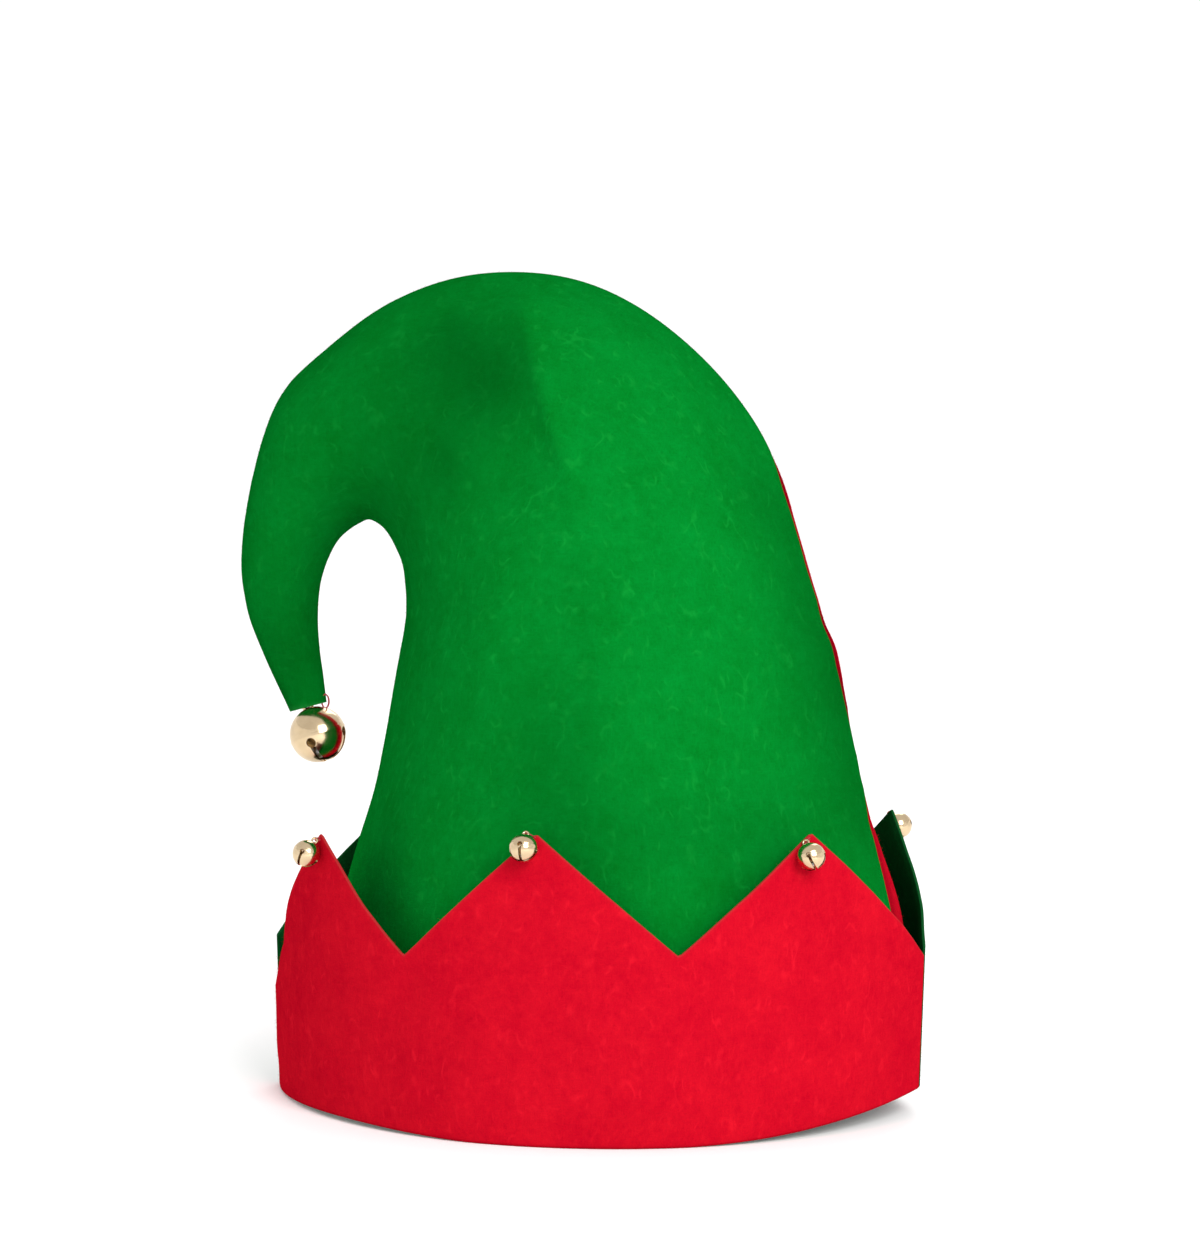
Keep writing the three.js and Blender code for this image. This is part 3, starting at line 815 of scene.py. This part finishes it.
def bellShell(bell):
    sides, arcs = bellSteps["sides"], bellSteps["arcs"]
    lip, lipWidth = 0.018 * bell["radius"], 0.035 * bell["radius"]
    points, faces = [], []
    for inset, flip in ((0.0, False), (bell["wall"], True)):
        start, radius = len(points), bell["radius"] - inset
        turns = np.arange(sides) * 2 * math.pi / sides
        for i in range(1, arcs):
            tilt = math.pi * i / arcs
            high = radius * math.cos(tilt)
            wide = radius * math.sin(tilt)
            if not inset:
                wide += lip * math.exp(-((high / lipWidth) ** 2))
            points += [(wide * math.cos(t), wide * math.sin(t), high) for t in turns]
        points += [(0, 0, radius), (0, 0, -radius)]
        top, bottom, last = len(points) - 2, len(points) - 1, start + (arcs - 2) * sides
        made = []
        for k in range(sides):
            after = (k + 1) % sides
            made.append((top, start + k, start + after))
            made.append((last + after, last + k, bottom))
            for i in range(arcs - 2):
                a, b = start + i * sides + k, start + i * sides + after
                made.append((a, a + sides, b + sides, b))
        faces += [face[::-1] for face in made] if flip else made
    return points, faces


# One slot of the cross as a cutter: a narrow bar that ends in a round hole on both sides
def slotCutter(bell, turned):
    high, reach = -0.22 * bell["radius"], 1.2 * bell["radius"]
    half, hole = bell["slot"] / 2, 0.95 * bell["slot"]
    outline = [(-half, -1.1 * bell["radius"])]
    begin = math.asin(half / hole)
    for step in range(17):
        turn = -math.pi / 2 - begin - (2 * math.pi - 2 * begin) * step / 16
        outline.append((hole * math.cos(turn), high + hole * math.sin(turn)))
    outline.append((half, -1.1 * bell["radius"]))
    count = len(outline)
    points = [(-reach, y, z) for y, z in outline] + [(reach, y, z) for y, z in outline]
    if turned:
        points = [(-y, x, z) for x, y, z in points]
    faces = [tuple(range(count)), tuple(range(2 * count - 1, count - 1, -1))]
    faces += [(i, i + count, (i + 1) % count + count, (i + 1) % count) for i in range(count)]
    return points, faces


# A ring of wire round a centre, as long and as wide as two vectors at right angles
def wireRing(centre, first, second, wire, sides, wireSides):
    centre, first, second = (np.asarray(part, float) for part in (centre, first, second))
    across = np.cross(first, second)
    across = across / np.linalg.norm(across)
    points, faces = [], []
    for i in range(sides):
        turn = 2 * math.pi * i / sides
        out = math.cos(turn) * first + math.sin(turn) * second
        along = math.cos(turn) * second - math.sin(turn) * first
        aside = np.cross(along, across)
        aside = aside / np.linalg.norm(aside)
        for k in range(wireSides):
            tilt = 2 * math.pi * k / wireSides
            points.append(centre + out + aside * wire * math.cos(tilt) + across * wire * math.sin(tilt))
    for i in range(sides):
        for k in range(wireSides):
            a, b = i * wireSides + k, i * wireSides + (k + 1) % wireSides
            c, d = (b + wireSides) % len(points), (a + wireSides) % len(points)
            faces.append((a, b, c, d))
    return points, faces


def joined(parts):
    points, faces = [], []
    for some, theirs in parts:
        start = len(points)
        points += [tuple(p) for p in some]
        faces += [tuple(start + i for i in face) for face in theirs]
    return points, faces


def applied(piece):
    graph = bpy.context.evaluated_depsgraph_get()
    mesh = bpy.data.meshes.new_from_object(piece.evaluated_get(graph))
    piece.modifiers.clear()
    piece.data = mesh


def ringCentre(bell):
    return bell["radius"] - bell["wall"] / 2 + bell["ring"]


def bellMesh(bell, name):
    shell = meshObject(name, *bellShell(bell), gold, smoothAngle=math.radians(35))
    cutters = [meshObject("slot", *slotCutter(bell, turned), gold) for turned in (False, True)]
    for cutter in cutters:
        cut = shell.modifiers.new("slot", "BOOLEAN")
        cut.operation, cut.solver, cut.object = "DIFFERENCE", "EXACT", cutter
    applied(shell)
    for cutter in cutters:
        bpy.data.objects.remove(cutter)
    spans = (bell["ring"], 0, 0), (0, 0, bell["ring"])
    steps = bellSteps["ringSides"], bellSteps["wireSides"]
    loop = meshObject("ring", *wireRing((0, 0, ringCentre(bell)), *spans, bell["wire"], *steps), gold)
    form = bmesh.new()
    form.from_mesh(shell.data)
    form.from_mesh(loop.data)
    form.to_mesh(shell.data)
    form.free()
    bpy.data.objects.remove(loop)
    shell.data.shade_smooth()
    shell.data.set_sharp_from_angle(angle=math.radians(35))
    return shell


# A bell in its place, its ring turned towards a direction
def placeBell(node, shape, centre, towardRing):
    turn = Vector((0, 0, 1)).rotation_difference(Vector(towardRing)).to_matrix().to_4x4()
    piece = bpy.data.objects.new(f"{node}_shell", shape.data.copy())
    scene.collection.objects.link(piece)
    piece.data.transform(Matrix.Translation(Vector(centre)) @ turn)
    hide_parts(node)
    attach(piece, "root")


# Loops of sewing thread between two places, each a little wider and more turned than the last
def sewLoops(name, start, end, facing, material, widths, wire=0.13 * mm):
    middle, half = (start + end) / 2, (end - start) / 2
    side = np.cross(facing, half)
    side = side / np.linalg.norm(side)
    normal = np.cross(half, side)
    normal = normal / np.linalg.norm(normal)
    loops = []
    for k, width in enumerate(widths):
        lean = 0.5 * (k - 1)
        across = side * math.cos(lean) + normal * math.sin(lean)
        loops.append(wireRing(middle, half * (1 + 0.05 * k), across * width, wire, 28, 6))
    thread = meshObject(name, *joined(loops), material)
    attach(thread, "root")


shapes = {"tip": bellMesh(tipBell, "tip"), "cuff": bellMesh(cuffBell, "cuff")}


packedRows = 38  # of the crown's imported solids, whose last row gives the tail's direction


def placeTipBell():
    ends = np.array((1.0, 1 - 1 / packedRows))
    middles = (crownPlain("front", ends, -1) + crownPlain("front", ends, 1)) / 2
    middles[:, 1] = rimCentre[1]
    along = middles[0] - middles[1]
    along = along / np.linalg.norm(along)
    centre = middles[0] + along * (tipBell["radius"] + tipBellGap)
    placeBell("tip_bell", shapes["tip"], centre, -along)
    # loops round the corner of the tail's end, down to the bell's shoulder
    corner = crownPlain("front", np.array((0.985,)), -1)[0]
    aslant = -along + np.array((0.75, 0, 0.35))
    shoulder = centre + aslant / np.linalg.norm(aslant) * tipBell["radius"]
    facing = np.array((0.0, -1.0, 0.0))
    widths = 1.1 * mm, 1.5 * mm, 1.9 * mm
    sewLoops("tip_bell_thread", corner, shoulder, facing, threads["front"], widths, 0.16 * mm)


def placeCuffBells(panel):
    reach = ringCentre(cuffBell)
    lean = math.asin((cuffBell["radius"] - cuffBell["ring"] - cuffBell["wire"]) / reach)
    for across, height, bell, drop, aside in zigzag[panel]:
        if not bell:
            continue
        peak = height * sizes["cuffHeight"]
        share = (peak - drop * 2 * cuffBell["radius"]) / peak
        heights = np.array((share, 1.0, share, share))
        places = np.array((across, across, across + 0.001, across - 0.001))
        place, point, later, sooner = cuffPoint(panel, heights, places, peak=peak)
        up = (point - place) / np.linalg.norm(point - place)
        sideways = (later - sooner) * (1, 1, 0)
        sideways = sideways / np.linalg.norm(sideways)
        outward = np.cross(sideways, up) * -sideOf[panel]
        outward = outward / np.linalg.norm(outward)
        centre = place + outward * (cuffBell["radius"] + sizes["clearance"])
        centre = centre - sideways * aside * 2 * cuffBell["radius"]
        toward = up * math.cos(lean) - outward * math.sin(lean)
        placeBell(f"cuff_bell_{panel}_{bell}", shapes["cuff"], centre, toward)
        ring = centre + toward * (reach + 0.3 * cuffBell["ring"])
        sewn = cuffPoint(panel, np.array([1 - 1.8 * mm / peak]), np.array([across]), 0.4 * mm, peak=peak)[0]
        widths = 0.3 * mm, 0.45 * mm, 0.6 * mm
        sewLoops(f"cuff_bell_{panel}_{bell}_thread", ring, sewn, outward, threads[panel], widths)


placeTipBell()
for panel in ("front", "back"):
    placeCuffBells(panel)
for shape in shapes.values():
    bpy.data.objects.remove(shape)
print("bells made")


# A tree of geometry nodes, with named inputs that its modifier sets by identifier
class Tree(Wire):
    def __init__(self, name, inputs):
        super().__init__(bpy.data.node_groups.new(name, "GeometryNodeTree"))
        face = self.tree.interface
        face.new_socket("Geometry", in_out="OUTPUT", socket_type="NodeSocketGeometry")
        face.new_socket("Geometry", in_out="INPUT", socket_type="NodeSocketGeometry")
        self.values = inputs
        self.names = {}
        for label, value in inputs.items():
            kind = "NodeSocketInt" if isinstance(value, int) else "NodeSocketFloat"
            self.names[label] = face.new_socket(label, in_out="INPUT", socket_type=kind).identifier
        self.entry = self.tree.nodes.new("NodeGroupInput")
        self.geometry = Wire(self.tree, self.entry.outputs["Geometry"])

    def value(self, label):
        return Wire(self.tree, self.entry.outputs[label])

    def close(self, made, material):
        real = self.make("GeometryNodeRealizeInstances", (), {"Geometry": made})
        dressed = self.make("GeometryNodeSetMaterial", (), {"Geometry": real, "Material": material})
        self.tree.links.new(dressed.socket, self.tree.nodes.new("NodeGroupOutput").inputs["Geometry"])

    # The mesh that this tree makes from a piece, as a new object
    def grown(self, piece, name):
        change = piece.modifiers.new("grow", "NODES")
        change.node_group = self.tree
        for label, identifier in self.names.items():
            change[identifier] = self.values[label]
        graph = bpy.context.evaluated_depsgraph_get()
        mesh = bpy.data.meshes.new_from_object(piece.evaluated_get(graph))
        piece.modifiers.remove(change)
        made = bpy.data.objects.new(name, mesh)
        scene.collection.objects.link(made)
        return made


# Loose fibres on the felt's outer faces: three-sided spikes that mostly lie down
fuzz = {"Fibres per square metre": 420000.0, "Length": 1.1 * mm, "Thickness": 0.028 * mm}
fuzzSeeds = {"crown_front": 3, "crown_back": 4, "cuff_front": 5, "cuff_back": 6}


def makeFuzz(node, material):
    tree = Tree(f"{node} fuzz", {**fuzz, "Seed": fuzzSeeds[node]})
    outside = tree.make("GeometryNodeInputNamedAttribute", {"data_type": "FLOAT"}, {"Name": "outside"})
    density = outside * tree.value("Fibres per square metre")
    inputs = {"Mesh": tree.geometry, "Density": density, "Seed": tree.value("Seed")}
    spread = tree.make("GeometryNodeDistributePointsOnFaces", (), inputs)
    normal = Wire(tree.tree, spread.socket.node.outputs["Normal"])
    thickness, length = tree.value("Thickness"), tree.value("Length")
    inputs = {"Vertices": 3, "Radius Bottom": thickness, "Radius Top": 0.0, "Depth": length}
    spike = tree.make("GeometryNodeMeshCone", {"fill_type": "NGON"}, inputs)
    low, high = (-1.0, -1.0, -1.0), (1.0, 1.0, 1.0)
    settings = {"data_type": "FLOAT_VECTOR"}
    chance = tree.make("FunctionNodeRandomValue", settings, {0: low, 1: high, "Seed": tree.value("Seed")})
    length = tree.make("FunctionNodeRandomValue", {"data_type": "FLOAT"}, {2: 0.4, 3: 1.3, "Seed": 11}, out=1)
    lying = tree.make("ShaderNodeVectorMath", {"operation": "SCALE"}, {0: normal, "Scale": 0.25})
    way = tree.make("ShaderNodeVectorMath", {"operation": "ADD"}, {0: chance, 1: lying})
    turn = tree.make("FunctionNodeAlignRotationToVector", {"axis": "Z"}, {"Vector": way})
    inputs = {"Points": spread, "Instance": spike, "Rotation": turn, "Scale": length}
    tree.close(tree.make("GeometryNodeInstanceOnPoints", (), inputs), material)
    piece = tree.grown(pieces[node], f"{node}_fuzz")
    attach(piece, "root")
    return piece


for node in fuzzSeeds:
    pieces[f"{node}_fuzz"] = makeFuzz(node, pieces[node].data.materials[0])
print("fuzz made", {name: len(piece.data.polygons) for name, piece in pieces.items()})


# The row of stitches inside the rim, which holds crown and cuff together
stitches = {"height": 5 * mm, "perHeight": 0.42, "steps": 160, "ends": 0.985, "inside": 0.05 * mm}
stitchValues = {"Spacing": 3.6 * mm, "Length": 1.3 * mm, "Thickness": 0.28 * mm}


def makeStitches():
    lines = []
    for panel in ("front", "back"):
        v = np.linspace(-stitches["ends"], stitches["ends"], stitches["steps"])
        u = np.full_like(v, stitches["height"] / sizes["hatHeight"] * stitches["perHeight"])
        lines.append(crownPoint(panel, u, v, sizes["felt"] + stitches["inside"]))
    points = np.concatenate(lines)
    links = [(i, i + 1) for i in range(len(points) - 1) if i != stitches["steps"] - 1]
    mesh = bpy.data.meshes.new("stitch line")
    mesh.from_pydata([tuple(p) for p in points], links, [])
    line = bpy.data.objects.new("stitch line", mesh)
    scene.collection.objects.link(line)
    tree = Tree("stitches", stitchValues)
    curve = tree.make("GeometryNodeMeshToCurve", (), {"Mesh": tree.geometry})
    settings = {"mode": "LENGTH"}
    even = tree.make("GeometryNodeResampleCurve", settings, {"Curve": curve, "Length": tree.value("Spacing")})
    tangent = tree.make("GeometryNodeInputTangent")
    turn = tree.make("FunctionNodeAlignRotationToVector", {"axis": "Z"}, {"Vector": tangent})
    ball = tree.make("GeometryNodeMeshUVSphere", (), {"Segments": 6, "Rings": 5, "Radius": 1.0})
    thickness, length = tree.value("Thickness"), tree.value("Length")
    size = tree.make("ShaderNodeCombineXYZ", (), {"X": thickness, "Y": thickness, "Z": length})
    inputs = {"Points": even, "Instance": ball, "Rotation": turn, "Scale": size}
    tree.close(tree.make("GeometryNodeInstanceOnPoints", (), inputs), threads["front"])
    piece = tree.grown(line, "rim_stitches")
    bpy.data.objects.remove(line)
    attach(piece, "root")


makeStitches()
print("stitches made")
